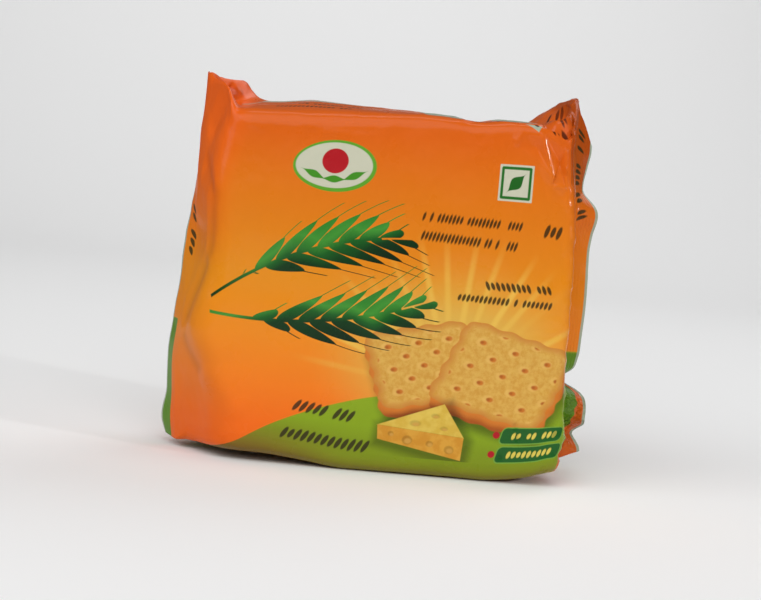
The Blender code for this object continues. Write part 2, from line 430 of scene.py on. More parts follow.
# Where the right-hand ear pulls on the front's corner
CORNER_PLACES = {
    "tip": (34.1, 103.2, 0), "fold left": (35.6, 107.6, 0), "fold": (41.4, 107.4, 0.3),
    "bevel top": (42.3, 107.7, 0), "ridge foot": (46.2, 95.6, 0.9), "bevel foot": (47.2, 96, 0.53),
    "lower edge": (41.4, 98.6, 0.25), "hollow": (40.9, 102.6, -0.9), "foot left": (46, 92.6, 0.1),
    "foot right": (50.9, 93.6, 0.15), "side": (50.9, 100.5, 0.35), "fold right": (50.8, 108.2, 0.4),
    "pan": (48.4, 101.8, -1.3), "low left": (37.5, 97, 0), "low right": (46, 86.5, 0),
    "crook": (43.2, 93.6, -0.3), "far foot": (52.6, 88, 0), "crook right": (49.4, 90, -0.35),
}
CORNER_FANS = (
    ("hollow", "tip", "fold left", "fold", "ridge foot", "lower edge", "tip"),
    ("fold", "bevel top", "bevel foot", "ridge foot"),
    ("pan", "bevel top", "bevel foot", "foot left"),
    ("foot left", "ridge foot", "bevel foot"),
    ("pan", "foot left", "foot right", "side", "fold right", "bevel top"),
    ("low left", "tip", "lower edge"),
    ("crook", "low left", "lower edge", "ridge foot", "foot left", "low right", "low left"),
    ("crook right", "foot left", "foot right", "far foot", "low right", "foot left"),
)

# The crumpled front slope of the right-hand ear, above the front fold
EAR_STRENGTH = 2.2
EAR_PLACES = {
    "fold a": (41, 110.5, 0), "fold b": (47, 110, 0.3), "fold c": (52, 110, 0.4),
    "fold d": (59, 110, 0.2), "low a": (44.5, 114.5, -1.1), "low b": (50, 114.5, -1.2),
    "low c": (56, 113.5, -0.9), "mid a": (43.5, 121, 0.2), "mid b": (48, 120, 0.9),
    "mid c": (53, 119, 0.8), "mid d": (60, 117.5, 0.3), "high a": (46, 130, 0),
    "high b": (51, 127, -0.9), "high c": (57, 125, -0.3), "top": (54, 134, 0),
}
EAR_FANS = (
    ("low a", "fold a", "fold b", "low b", "mid b", "mid a", "fold a"),
    ("low b", "fold b", "fold c", "low c", "mid c", "mid b"),
    ("low c", "fold c", "fold d", "mid d", "mid c"),
    ("high a", "mid a", "mid b"),
    ("high b", "mid b", "mid c", "high c", "top", "high a", "mid b"),
    ("high c", "mid c", "mid d"),
)

# The pocket in the left-hand ear, behind the top's end
POCKET_PLACES = {
    "front": (-58.5, 116, 0), "inner": (-51, 126, 0), "back": (-49.5, 146, 0),
    "outer": (-60.5, 152, 0), "deep": (-55.5, 140, -4.5), "deep front": (-55.5, 126, -2.2),
}
POCKET_FANS = (
    ("deep front", "deep", "outer", "front", "inner", "deep"),
    ("deep", "inner", "back", "outer"),
)

# Three faint dents on the two banners
DENT_PLACES = {
    "a": (43, 12.4, 0.35), "b": (44.4, 14, -0.72), "c": (43.1, 16, -1.05),
    "d": (42, 16.6, 0.35), "e": (43.5, 17.4, -0.45), "f": (42.3, 19.2, -0.74),
    "g": (38.4, 7, 0.2), "h": (39.4, 7.8, -0.57), "i": (38.6, 9.2, -1.08),
}
DENT_FANS = (("c", "a", "b"), ("f", "d", "e"), ("i", "g", "h"))

# Creases of the left end, then those of the right end, as (start, end, width, height)
CREASES = (
    ((-58.5, 108), (-72, 93), 6, -1.2),
    ((-72, 88), (-57, 82), 5, -0.9),
    ((-57.8, 85), (-57.6, 60), 4.5, -0.8),
    ((-57.5, 63), (-71.5, 38), 5.5, -0.6),
    ((-71, 37), (-56, 25), 7, -0.35),
    ((-56, 29), (-41, 11), 6, 0.5),
    ((50.9, 109), (50.9, 94), 0.9, 0.3),
    ((46, 93), (51.2, 94.2), 1.1, 0.4),
    ((33, 105.8), (34.5, 102.8), 0.9, 0.35),
    ((35.4, 107), (33.8, 103), 0.8, 0.25),
    ((54.5, 112), (54.5, 93), 2.4, -0.9),
    ((54, 90), (75, 84), 2.2, -0.8),
    ((53.5, 78), (74, 74), 2.6, 0.5),
    ((55, 60), (76, 64), 2.4, -0.5),
    ((57, 44), (76, 38), 2.4, -0.8),
    ((58, 28), (76, 33), 2, 1),
    ((57, 22), (76, 24), 2.2, -1.2),
    ((58, 12), (76, 16), 2.2, 1),
    ((56, 6), (76, 8), 2.4, -1),
)


def relief(u, v, outward):
    """How far the film stands out from its plain shape."""
    broad = Unevenness(3)
    medium = Unevenness(7)
    fine = Unevenness(11)
    height = 0.22 * broad(u / 23, v / 19) + 0.12 * medium(u / 11, v / 9)
    near_end = step(abs(u), 40, 62)
    crumpled = near_end * step(u, -20, 20)
    height += crumpled * (0.35 * medium.folds(u / 16, v / 8.5) + 0.2 * fine.folds(u / 7, v / 5) - 0.2)
    near_top = step(v, 100, 109) * step(v, 168, 158)
    height += near_top * 0.22 * fine.folds(u / 12, v / 9)
    for start, end, width, rise_height in CREASES:
        height += crease(u, v, start, end, width, rise_height)
    height += facets(u, v, CORNER_PLACES, CORNER_FANS)
    height += facets(u, v, DENT_PLACES, DENT_FANS)
    height += EAR_STRENGTH * facets(u, v, EAR_PLACES, EAR_FANS)
    height += facets(u, v, POCKET_PLACES, POCKET_FANS)
    return height * step(abs(outward), 3.35, 2.7)


def fin_waves(points, outward):
    """Sideways waves of the flat end fins. Both layers of film move together."""
    z = points[..., 2]
    rough = Unevenness(5)
    crumpled = step(z, 40, 30) * step(outward, 0, 1)
    wave = 0.4 * rough(z / 9, outward * 0.6) + 0.9 * crumpled * rough(z / 4.2 + 9, outward * 1.3)
    wave += crumpled * 0.5 * rough(z / 1.9 + 17, outward * 3.1)
    turn = np.where(outward > 0, RIGHT.turn(z), LEFT.turn(z))
    shift = wave * step(abs(outward), 3.2, 4.6)
    points[..., 0] += np.sign(outward) * np.sin(turn) * shift
    points[..., 1] -= np.cos(turn) * shift


def film_mesh(points, along, around, outward):
    """The mesh of the film, with its two layouts: millimetres of film, and the place on the pack."""
    columns, rows = points.shape[:2]
    index = np.arange(columns * rows).reshape(columns, rows)
    layouts = {"film": along, "place": outward}

    def at_corners(values, once_round=0):
        """The values at the four corners of each face. The last row of faces closes the ring."""
        ring = np.concatenate([values, values[:, :1] + once_round], axis=1)
        corners = (ring[:-1, :-1], ring[1:, :-1], ring[1:, 1:], ring[:-1, 1:])
        return np.stack(corners, -1).reshape(-1, 4)

    # Narrow faces close the two cut edges, from the top's middle down to the bottom's.
    edge_faces = []
    edge_places = {"film": [], "place": []}
    half = rows // 2
    top_middle = half - EDGE_ROWS - 1 - CAP_ROWS // 2
    pairs = [((top_middle - k) % rows, (top_middle + k) % rows) for k in range(half + 1)]
    for column in (0, columns - 1):
        for (a, b), (c, d) in zip(pairs[:-1], pairs[1:]):
            face_rows = list(dict.fromkeys((a, b, d, c)))
            if column == 0:
                face_rows.reverse()
            edge_faces.append(index[column, face_rows].tolist())
            for name, across in layouts.items():
                edge_places[name] += [(across[column, row], around[column, row]) for row in face_rows]

    mesh = bpy.data.meshes.new("pack_film")
    corners = (points.reshape(-1, 3) * MILLIMETRE).tolist()
    mesh.from_pydata(corners, [], at_corners(index).tolist() + edge_faces)
    for name, across in layouts.items():
        places = np.stack([at_corners(across), at_corners(around, ROUND)], -1).reshape(-1, 2)
        layer = mesh.uv_layers.new(name=name)
        layer.data.foreach_set("uv", np.concatenate([places, edge_places[name]]).ravel())
    mesh.shade_smooth()
    mesh.set_sharp_from_angle(angle=math.radians(SHARP_ANGLE))
    mesh.validate()
    return mesh


# Printing: numbers and colours that vary over the film, worked out by shader nodes.
# A plain colour is written as (red, green, blue), as it shows on a screen, from 0 to 255.


class Number:
    """A number, place or colour that varies over the film: the output of a shader node."""

    tree = None

    def __init__(self, socket):
        self.socket = socket

    def __add__(self, other):
        return math_node("ADD", self, other)

    def __sub__(self, other):
        return math_node("SUBTRACT", self, other)

    def __rsub__(self, other):
        return math_node("SUBTRACT", other, self)

    def __mul__(self, other):
        return math_node("MULTIPLY", self, other)

    def __truediv__(self, other):
        return math_node("DIVIDE", self, other)

    def __rtruediv__(self, other):
        return math_node("DIVIDE", other, self)

    def __neg__(self):
        return math_node("MULTIPLY", self, -1)

    __radd__ = __add__
    __rmul__ = __mul__


def tone(red, green, blue):
    """A screen colour as light values, by the usual screen curve."""
    values = [value / 255 for value in (red, green, blue)]
    return tuple(v / 12.92 if v <= 0.04045 else ((v + 0.055) / 1.055) ** 2.4 for v in values) + (1,)


def feed(slot, value):
    """Links a slot to a varying value, or sets it to a plain number or colour."""
    if isinstance(value, Number):
        Number.tree.links.new(value.socket, slot)
    else:
        slot.default_value = tone(*value) if isinstance(value, tuple) else value


def add_node(kind, slots, **settings):
    """A new shader node with its settings. The slots are given by number or by name."""
    node = Number.tree.nodes.new("ShaderNode" + kind)
    for name, value in settings.items():
        setattr(node, name, value)
    for slot, value in slots.items():
        feed(node.inputs[slot], value)
    return node


def grouped(build):
    """Keeps the nodes that a function makes in one node group, however often it is called."""
    kinds = {"colour": "NodeSocketColor", "place": "NodeSocketVector"}
    names = list(inspect.signature(build).parameters)
    made = []

    def make():
        tree = bpy.data.node_groups.new(build.__name__, "ShaderNodeTree")
        for name in names:
            kind = kinds.get(name, "NodeSocketFloat")
            tree.interface.new_socket(name, in_out="INPUT", socket_type=kind)
        Number.tree = tree
        entry = tree.nodes.new("NodeGroupInput")
        results = build(*[Number(socket) for socket in entry.outputs[: len(names)]])
        results = results if isinstance(results, tuple) else (results,)
        for k, result in enumerate(results):
            kind = "NodeSocketFloat" if result.socket.type == "VALUE" else "NodeSocketColor"
            tree.interface.new_socket(f"result {k}", in_out="OUTPUT", socket_type=kind)
        leave = tree.nodes.new("NodeGroupOutput")
        for slot, result in zip(leave.inputs, results):
            feed(slot, result)
        made.append(tree)

    def use(*values):
        outer = Number.tree
        if not made:
            make()
            Number.tree = outer
        node = add_node("Group", dict(enumerate(values)), node_tree=made[0])
        results = tuple(Number(socket) for socket in node.outputs)
        return results if len(results) > 1 else results[0]

    return use


def math_node(operation, *values):
    return Number(add_node("Math", dict(enumerate(values)), operation=operation).outputs[0])


def least(*values):
    return reduce(partial(math_node, "MINIMUM"), values)


def most(*values):
    return reduce(partial(math_node, "MAXIMUM"), values)


size_of = partial(math_node, "ABSOLUTE")
part_of = partial(math_node, "FRACT")
whole = partial(math_node, "FLOOR")
sine = partial(math_node, "SINE")
cosine = partial(math_node, "COSINE")
power = partial(math_node, "POWER")
times_plus = partial(math_node, "MULTIPLY_ADD")


def rise(value, start, end, low=0, high=1):
    """A smooth change from low to high while the value goes from start to end."""
    slots = dict(enumerate((value, start, end, low, high)))
    node = add_node("MapRange", slots, interpolation_type="SMOOTHSTEP", clamp=False)
    return Number(node.outputs[0])


def length_of(x, y):
    place = Number(add_node("CombineXYZ", {0: x, 1: y}).outputs[0])
    return Number(add_node("VectorMath", {0: place}, operation="LENGTH").outputs["Value"])


def mottle(place, fineness, detail=3, roughness=0.55):
    """Smooth random tones between 0 and 1, with so many spots to a millimetre."""
    slots = {"Vector": place, "Scale": fineness, "Detail": detail, "Roughness": roughness}
    return Number(add_node("TexNoise", slots, noise_dimensions="2D").outputs["Fac"])


def chance(value):
    """A random number between 0 and 1 for each whole value."""
    return Number(add_node("TexWhiteNoise", {"W": value}, noise_dimensions="1D").outputs["Value"])


def over(under, upper, cover):
    """One colour laid over another, as far as the cover says."""
    # Slots 6 and 7 and output 2 of this node are those for colours.
    node = add_node("Mix", {0: cover, 6: under, 7: upper}, data_type="RGBA", clamp_factor=False)
    return Number(node.outputs[2])


def shaded(under, strength):
    """A colour darkened to the given strength."""
    return Number(add_node("VectorMath", {0: under, "Scale": strength}, operation="SCALE").outputs[0])


def ramp(value, *stops):
    """A colour that follows stops, each given as (position, red, green, blue)."""
    node = add_node("ValToRGB", {0: value})
    elements = node.color_ramp.elements
    stops = [(position, tone(*colour)) for position, *colour in stops]
    elements[0].position, elements[0].color = stops[0]
    elements[1].position, elements[1].color = stops[-1]
    for position, colour in stops[1:-1]:
        elements.new(position).color = colour
    return Number(node.outputs[0])


# Printed shapes. Each gives how far outside the shape a place lies, in millimetres: below zero is inside.


def ink(distance, softness=0.3, cover=1):
    """Cover inside a shape, fading over the given width at its edge."""
    return rise(distance, softness / 2, -softness / 2, 0, cover)


def turned(u, v, centre, angle):
    """Places measured from a centre along a turned pair of axes."""
    x, y = centre
    c, s = math.cos(angle), math.sin(angle)
    along = times_plus(u, c, times_plus(v, s, -x * c - y * s))
    across = times_plus(u, -s, times_plus(v, c, x * s - y * c))
    return along, across


def along_line(u, v, start, end):
    """Places measured along a line and across it, and the line's length."""
    run = (end[0] - start[0], end[1] - start[1])
    return *turned(u, v, start, math.atan2(run[1], run[0])), math.hypot(*run)


@grouped
def panel(x, y, width, height, corner):
    """A box with round corners, about the middle."""
    dx = size_of(x) - (width / 2 - corner)
    dy = size_of(y) - (height / 2 - corner)
    outer = length_of(most(dx, 0), most(dy, 0))
    return outer + least(most(dx, dy), 0) - corner


def convex(u, v, corners):
    """A flat shape with straight edges between its corners, which go round to the left."""
    sides = []
    for (x0, y0), (x1, y1) in zip(corners, corners[1:] + corners[:1]):
        edge = math.hypot(x1 - x0, y1 - y0)
        nx, ny = (y1 - y0) / edge, (x0 - x1) / edge
        sides.append(times_plus(u, nx, times_plus(v, ny, -nx * x0 - ny * y0)))
    return most(*sides)


@grouped
def oval(u, v, x, y, width, height):
    """An oval about a middle point."""
    across = (u - x) / (width / 2)
    up = (v - y) / (height / 2)
    return (length_of(across, up) - 1) * (height / 2)


@grouped
def leaf(x, y, length, width):
    """A pointed leaf that lies along x, about the middle."""
    along = size_of(x) / (length / 2)
    return most(size_of(y) - rise(along, 1, 0, 0, width / 2), along - 0.97)


# How much of a row's pitch one grain takes up
GRAIN_SHARE = 0.74


@grouped
def row_of_grains(along, across, run, height, pitch, slant, seed):
    """A row of small slanted grains, with gaps here and there."""
    local = (along - across * slant) / pitch + seed
    luck = chance(whole(local))
    x = (part_of(local) - 0.5) * 2
    tall = height * rise(luck, 0.1, 0.6, 0.4, 0.5)
    grain = (length_of(x / GRAIN_SHARE, across / tall) - 1) * (pitch * (GRAIN_SHARE / 2))
    middle = (whole(local) - seed + 0.5) * pitch
    stop = (size_of(middle - run / 2) - run / 2 + pitch * 0.25) * 4
    return most(grain, stop, rise(luck, 0.11, 0.12, 1, -1))


def marks(colour, u, v, shade, rows, softness=0.3, cover=1):
    """Rows of grains, each given as (start, end, height, pitch, slant, seed)."""
    for start, end, *form in rows:
        row = row_of_grains(*along_line(u, v, start, end), *form)
        colour = over(colour, shade, ink(row, softness, cover))
    return colour


def block(x, y, middle, width, lines, spacing, height, pitch, seed):
    """A block of rows of small grains."""
    level = (y - middle[1]) / spacing + lines / 2
    line = whole(level)
    across = (part_of(level) - 0.5) * spacing
    shorter = rise(chance(line + seed), 0.5, 0.9, 0, width * 0.4)
    along = x - (middle[0] - width / 2)
    rows = row_of_grains(along, across, width - shorter, height, pitch, 0.25, line * 61 + seed)
    return most(rows, size_of(y - middle[1]) - lines * spacing / 2)


@grouped
def wheat_ear(along, across, run, arch, reach, pitch, seed):
    """An ear of wheat along a line, arched sideways, with plump grains and awns on both sides.

    It gives the distance outside the grains, awns and stalk, and the share of the way to the tip.
    """
    share = along / run
    sideways = across - share * (1 - share) * 4 * arch
    off = size_of(sideways)
    # Grains lean forward, and those on the two sides alternate.
    leaned = along - off * (off * 0.06 + 1.15)
    cell = leaned / pitch + math_node("SIGN", sideways) * 0.25 + seed
    middle = (whole(cell) - seed + 0.5) * pitch / run
    local = size_of(part_of(cell) - 0.5) * pitch
    grown = rise(middle, 0.1, 0.34) * rise(middle, 1, 0.62, 0.3, 1)
    span = most(grown * reach, 0.01)
    reached = least(most((off + 0.5) / span, 0), 1)
    belly = power(reached, 0.45) * power(1 - reached, 0.75)
    limits = size_of(middle - 0.5) * 60 - 29
    grain = most(local - belly * pitch * 1.08, 0.25 - off, off - span, limits)
    awn = most(local - 0.3, off - span * 1.4, span * 0.6 - off, limits)
    stalk = most(off - 0.5, size_of(along - run * 0.4) - run * 0.45)
    return least(grain, awn, stalk), share


# The waves along half a side of a cracker, and how far they rise
EDGE_WAVES = 2.25
EDGE_RISE = 0.28
# The holes from a cracker's middle to its side, and the diagonal of a square with sides of 1
HOLES = 3.4
DIAGONAL = 1.41


@grouped
def cracker_edge(p, q, reach):
    """The wavy square outline of a cracker."""
    wave = (2 * math.pi * EDGE_WAVES) / reach
    scallop = cosine(p * wave) + cosine(q * wave)
    return panel(p, q, reach * 2, reach * 2, 2.2) + scallop * EDGE_RISE


@grouped
def cracker_face(colour, top, p, q, reach, place):
    """A baked face with toasted edges, and holes in staggered rows that are darker in the pit."""
    grain = mottle(place, 0.55, 5, 0.65)
    body = over((202, 148, 60), (214, 170, 82), rise(grain, 0.25, 0.75))
    toast = rise(top + grain * 3, -1.2, 2.4)
    body = over(body, (192, 112, 42), toast * 0.8)
    spacing = reach / HOLES
    a = (p + q) / (spacing * 2)
    b = (p - q) / (spacing * 2)
    hole_u = (part_of(a + 0.5) - 0.5) * spacing * DIAGONAL
    hole_v = (part_of(b + 0.5) - 0.5) * spacing * DIAGONAL
    pit = length_of(hole_u, hole_v)
    rim = length_of(hole_u + 0.35, hole_v + 0.3)
    inside = ink(top + 2, 0.6)
    body = over(body, (226, 182, 98), rise(rim, 1.9, 1.2) * inside * 0.5)
    body = over(body, (194, 112, 40), rise(pit, 1.3, 0.5) * inside)
    body = over(body, (150, 76, 26), rise(rim, 0.8, 0.2) * inside * 0.6)
    return over(colour, body, ink(top, 0.4))


def cracker(colour, u, v, place, centre, first, second, thick):
    """A baked square cracker. Its half sides are two vectors on the film."""
    ax, ay = first
    bx, by = second
    area = ax * by - ay * bx
    reach = (math.hypot(ax, ay) + math.hypot(bx, by)) / 2
    scale = reach / area

    def local(shift_u, shift_v):
        x, y = centre[0] + shift_u, centre[1] + shift_v
        p = times_plus(u, by * scale, times_plus(v, -bx * scale, (bx * y - by * x) * scale))
        q = times_plus(u, -ay * scale, times_plus(v, ax * scale, (ay * x - ax * y) * scale))
        return p, q

    p, q = local(0, 0)
    top = cracker_edge(p, q, reach)
    lower = cracker_edge(*local(thick * 0.1, -thick), reach)
    shadow = panel(*local(thick * 0.5, -thick * 1.9), 2 * reach, 2 * reach, 3)
    colour = shaded(colour, rise(shadow, 2.2, -2.6, 1, 0.42))
    side = over((164, 82, 26), (204, 118, 42), rise(top, thick * 0.95, 0.1))
    colour = over(colour, side, ink(least(lower, top), 0.4))
    return cracker_face(colour, top, p, q, reach, place)


@grouped
def pitted(colour, u, v, x, y, width, height, depth):
    """A hole in cheese: a darker oval with a lighter floor."""
    colour = over(colour, shaded(colour, 1 - depth), ink(oval(u, v, x, y, width, height), 0.5))
    floor = oval(u, v, x + 0.25, y - 0.3, width * 0.66, height * 0.62)
    return over(colour, (206, 156, 72), ink(floor, 0.6, 0.8))


@grouped
def cheese(colour, u, v, place):
    """A wedge of cheese with round holes, tip to the left."""
    tip, far, near = (0, 15.5), (20, 23.5), (27, 13.5)
    deep = 7.2
    foot_near, foot_tip = (26.6, near[1] - deep), (0.4, tip[1] - deep * 0.62)
    shadow = convex(u, v, [(-0.5, 9.5), (27.5, 4.2), (29, 12.5), (22, 24), (0, 15.5)])
    colour = shaded(colour, rise(shadow, 2.6, -1, 1, 0.5))
    blotch = rise(mottle(place, 0.22, 3), 0.35, 0.65)
    side = over((202, 140, 44), (212, 156, 58), blotch)
    for x, y, width in ((9.6, 11.4, 3.2), (16.6, 10.8, 2.2), (22.8, 9.4, 3), (4.4, 13, 1.8)):
        side = pitted(side, u, v, x, y, width, width * 0.86, 0.3)
    colour = over(colour, side, ink(convex(u, v, [foot_tip, foot_near, near, tip])))
    top = over((208, 172, 66), (218, 188, 84), blotch)
    for x, y, width in ((11.6, 16.8, 3.4), (17.6, 19.6, 2.6), (20.6, 15.9, 2.4)):
        top = pitted(top, u, v, x, y, width, width * 0.55, 0.25)
    return over(colour, top, ink(convex(u, v, [tip, near, far])))


# Layout of the print, in millimetres of film: u from the pack's middle, v up from the front's bottom fold

OFF_WHITE = (196, 196, 174)
BARE_FILM = (160, 172, 150)
DARK_INK = (48, 40, 18)
RED = (172, 26, 34)

RAY_CENTRE = (21, 27)
RAYS_IN_HALF_TURN = 17
# The green band's upper edge rises to its crest along a curve of u * u, u and 1.
BAND_CREST = 12.3
BAND_CURVE = (-0.00718, 0.176, 24.27)
EMBLEM = (-20.8, 93.6)
SQUARE = (34.9, 92.3)
BANNER_RIGHT = 57.6


@grouped
def background(u, v):
    """Orange that deepens to the top, with a yellow glow on the front and one on the back."""
    colour = ramp(
        v / ROUND,
        (0, 238, 103, 18), (0.032, 238, 106, 20), (0.079, 238, 123, 26), (0.127, 232, 135, 28),
        (0.184, 223, 138, 26), (0.228, 220, 126, 24), (0.278, 218, 114, 22), (0.329, 216, 97, 20),
        (0.358, 210, 92, 20), (0.5, 212, 94, 20), (0.56, 216, 110, 22), (0.7, 222, 134, 26),
        (0.78, 232, 130, 26), (0.84, 230, 110, 22), (0.92, 224, 110, 20), (1, 238, 103, 18),
    )
    for place, shade, cover in (
        ((22, 37, 96, 66), (214, 174, 76), 1),
        ((-14, 232, 90, 60), (222, 160, 62), 0.8),
    ):
        colour = over(colour, shade, rise(oval(u, v, *place), 0, -26, 0, cover))
    return colour


@grouped
def rays(colour, u, v):
    """Thin pale rays that fan out from behind the picture."""
    x, y = u - RAY_CENTRE[0], v - RAY_CENTRE[1]
    spoke = math_node("ARCTAN2", y, x) * (RAYS_IN_HALF_TURN / math.pi) + 0.35
    luck = chance(whole(spoke))
    off = size_of(part_of(spoke) - 0.5 + (luck - 0.5) * 0.5)
    away = length_of(x, y)
    thin = rise(off * away * (math.pi / RAYS_IN_HALF_TURN), 1.5, 0.2)
    fade = rise(away, 16, 24) * rise(away, 52, 34) * rise(y, 0, 8)
    return over(colour, (230, 190, 82), thin * fade * (luck * 0.6 + 0.1))


def front_height(v):
    """The height on the front, below zero on the front half of the bottom."""
    return times_plus(math_node("GREATER_THAN", v, UNDER_MIDDLE), -ROUND, v)


@grouped
def swoosh(colour, u, v):
    """The green band that rises from the bottom left and wraps under the pack."""
    squared, plain, start = BAND_CURVE
    capped = least(u, BAND_CREST)
    line = times_plus(capped, times_plus(capped, squared, plain), start) + rise(u, 48, 74, 0, 15)
    height = front_height(v)
    back_height = BACK_FOOT - v
    band = least(height - line, most(back_height - line, v - UNDER_MIDDLE))
    green = ramp(
        least(size_of(height), size_of(back_height)) / 24,
        (0, 128, 118, 30), (0.08, 130, 134, 30), (0.22, 124, 142, 26),
        (0.4, 124, 146, 26), (0.62, 132, 160, 28), (1, 134, 162, 30),
    )
    green = over(green, (156, 106, 26), rise(least(-height, v - BACK_FOOT), 0, 6))
    green = over(green, (126, 92, 34), rise(u, 0, -44) * rise(height, 15, 0, 0, 0.8))
    return over(colour, green, ink(band, 0.5))


@grouped
def emblem(colour, u, v):
    """An off-white oval with a green rim, a red disc and a sprig of three leaves."""
    x, y = EMBLEM
    for shade, right, up, width, height in (
        ((92, 156, 44), 0, 0, 25.4, 16.6), (OFF_WHITE, -0.2, 0.2, 23.4, 14.6), (RED, 0, 1.6, 8, 8),
    ):
        colour = over(colour, shade, ink(oval(u, v, x + right, y + up, width, height)))
    for angle, length, shift in ((0, 8, 0), (0.42, 8.4, 6.2), (-0.42, 8.4, -6.2)):
        along, across = turned(u, v, (x + shift, y - 4.2 + abs(shift) * 0.22), angle)
        colour = over(colour, (66, 138, 36), ink(leaf(along, across, length, 2.3)))
    return colour


@grouped
def small_square(colour, u, v):
    """A small off-white square with a green frame and a green leaf."""
    x, y = turned(u, v, SQUARE, 0)
    colour = over(colour, OFF_WHITE, ink(panel(x, y, 10.6, 10.6, 0.2)))
    colour = over(colour, (38, 104, 38), ink(size_of(panel(x, y, 8.6, 8.6, 0.1)) - 0.42))
    x, y = turned(u, v, SQUARE, math.radians(45))
    return over(colour, (34, 96, 32), ink(leaf(x, y, 7.6, 3.6)))


@grouped
def ears(colour, u, v, place):
    """Two large ears of wheat in dark green, lighter above."""
    waves = mottle(place, 0.055, 1)
    for base, tip, arch, reach, seed in (
        ((-52, 52), (5, 73), 5, 8.6, 0.1),
        ((-51, 45), (13, 55), -4, 8.4, 7.4),
    ):
        shape, share = wheat_ear(*along_line(u, v, base, tip), arch, reach, 6.6, seed)
        line = times_plus(share, tip[1] - base[1], base[1] + arch * 0.8)
        shade = ramp(
            rise(v - line + waves * 10, -6, 14),
            (0, 14, 38, 18), (0.38, 16, 56, 24), (0.58, 28, 92, 34), (0.8, 66, 142, 52), (1, 44, 122, 42),
        )
        colour = over(colour, shade, ink(shape))
    return colour


@grouped
def front_marks(colour, u, v):
    """Rows of small dark marks on the front."""
    rows = (
        ((7.2, 80.3), (38.4, 79.8), 3, 1.15, 0.25, 100),
        ((7.4, 74.6), (37.4, 73.6), 3, 1.15, 0.25, 200),
        ((43.2, 79.4), (50.6, 79), 4.2, 1.9, 0.25, 300),
        ((27, 61), (49.8, 61.2), 2.8, 1.6, -0.4, 400),
        ((20.4, 56.8), (49.8, 56.4), 2.4, 1.35, 0.25, 500),
        ((-26.2, 18.6), (-4, 16.8), 4, 2.1, 0.5, 600),
        ((-31.4, 8.8), (-2.4, 8.2), 4, 2.1, 0.5, 700),
    )
    return marks(colour, u, v, DARK_INK, rows, cover=0.92)


@grouped
def banners(colour, u, v):
    """Two dark-green bars with yellow marks, and a red dot beside each."""
    for y, left, seed in ((15, 38.6, 950), (8.9, 37.6, 880)):
        x, h = turned(u, v, ((left + BANNER_RIGHT) / 2, y), math.radians(-0.5))
        bar = panel(x - h * 0.25, h, BANNER_RIGHT - left, 4.9, 1.4)
        colour = over(colour, (112, 158, 60), ink(bar - 0.35))
        colour = over(colour, (32, 92, 36), ink(bar))
        rows = (((left + 3, y), (BANNER_RIGHT - 2, y - 0.1), 2.3, 1.6, 0.3, seed),)
        colour = marks(colour, u, v, (216, 196, 84), rows)
        colour = over(colour, RED, ink(oval(u, v, left - 1.6, y + 0.2, 2.2, 2.2)))
    return colour


@grouped
def picture(colour, u, v, place):
    """Two baked crackers and a wedge of cheese."""
    colour = cracker(colour, u, v, place, (12.5, 35), (15.6, 3.6), (-4.2, 11.4), 2.8)
    colour = cracker(colour, u, v, place, (37, 33.5), (17.6, -4.4), (5.6, 12.6), 3.2)
    return cheese(colour, u, v, place)


@grouped
def fin_print(colour, v, out):
    """The ends of the print: tones of the closures, partly painted light and shade, green feet, dark
    marks, and a bare strip along each cut edge.

    The place out runs from the middle to the fin's edge at 5, and below zero on the left.
    """
    height = most(least(front_height(v), BACK_FOOT - v), 0)
    # Tones of the closures: redder and darker on the right above; on the left redder and lighter above,
    # partly painted light, and darker below, as painted shade
    colour = over(colour, (216, 84, 16), rise(out, 0.9, 1.8, 0, 0.22) * rise(height, 24, 50))
    colour = over(colour, (244, 98, 26), rise(out, -0.9, -1.8, 0, 0.6) * rise(height, 50, 90))
    colour = shaded(colour, 1 - rise(out, -0.9, -1.8, 0, 0.12) * rise(height, 60, 20))
    # Green feet, with orange along the cut edge and the foot of the right end
    ragged = sine(v * 1.9) * 0.6
    green_left = rise(height + ragged, 40.6, 39.8) * rise(out, -4.02, -4.08)
    colour = over(colour, (88, 132, 34), green_left)
    colour = over(colour, (92, 132, 26), rise(height, 40.4, 39.6) * rise(out, 3.5, 3.9))
    torn = out + sine(v * 1.3) * 0.05 + rise(height, 30, 6, 0, 0.45)
    colour = over(colour, (214, 98, 30), rise(height, 30.5, 29.5) * rise(torn, 4.6, 4.64))
    colour = over(colour, (206, 96, 30), rise(height, 7.5, 6.5) * rise(out, 1.4, 1.6))
    # Painted shade: the right end, from its round edge outwards, darker towards the top under the ear
    colour = shaded(colour, 1 - rise(out, 1.3, 2) * rise(height, 82, 98, 0, 0.34))
    # Marks, and the bare edges
    for side, low, high, tall, pitch, seed in ((-1, 60, 77, 4.6, 2.6, 900), (1, 82, 106, 4, 1.5, 950)):
        across = (out * side - 4.1) * 6
        row = row_of_grains(v - low, across, high - low, tall, pitch, 0.5, seed)
        colour = over(colour, (28, 46, 20), ink(row, 0.3, 0.9))
    return over(colour, BARE_FILM, rise(size_of(out), 4.84, 4.88))


@grouped
def worn_folds(colour, u, v):
    """Painted shade: soft darker lines along the creases of the left end."""
    for start, end, dark in (
        ((-71, 90), (-58, 82), 0.1), ((-57.5, 84), (-57.5, 61), 0.12),
        ((-58, 62), (-70, 40), 0.12), ((-70, 37), (-57, 25), 0.14),
    ):
        along, across, run = along_line(u, v, start, end)
        line = panel(along - run / 2, across, run, 5, 2.5)
        colour = shaded(colour, 1 - rise(line, 1, -2.5, 0, dark))
    return colour


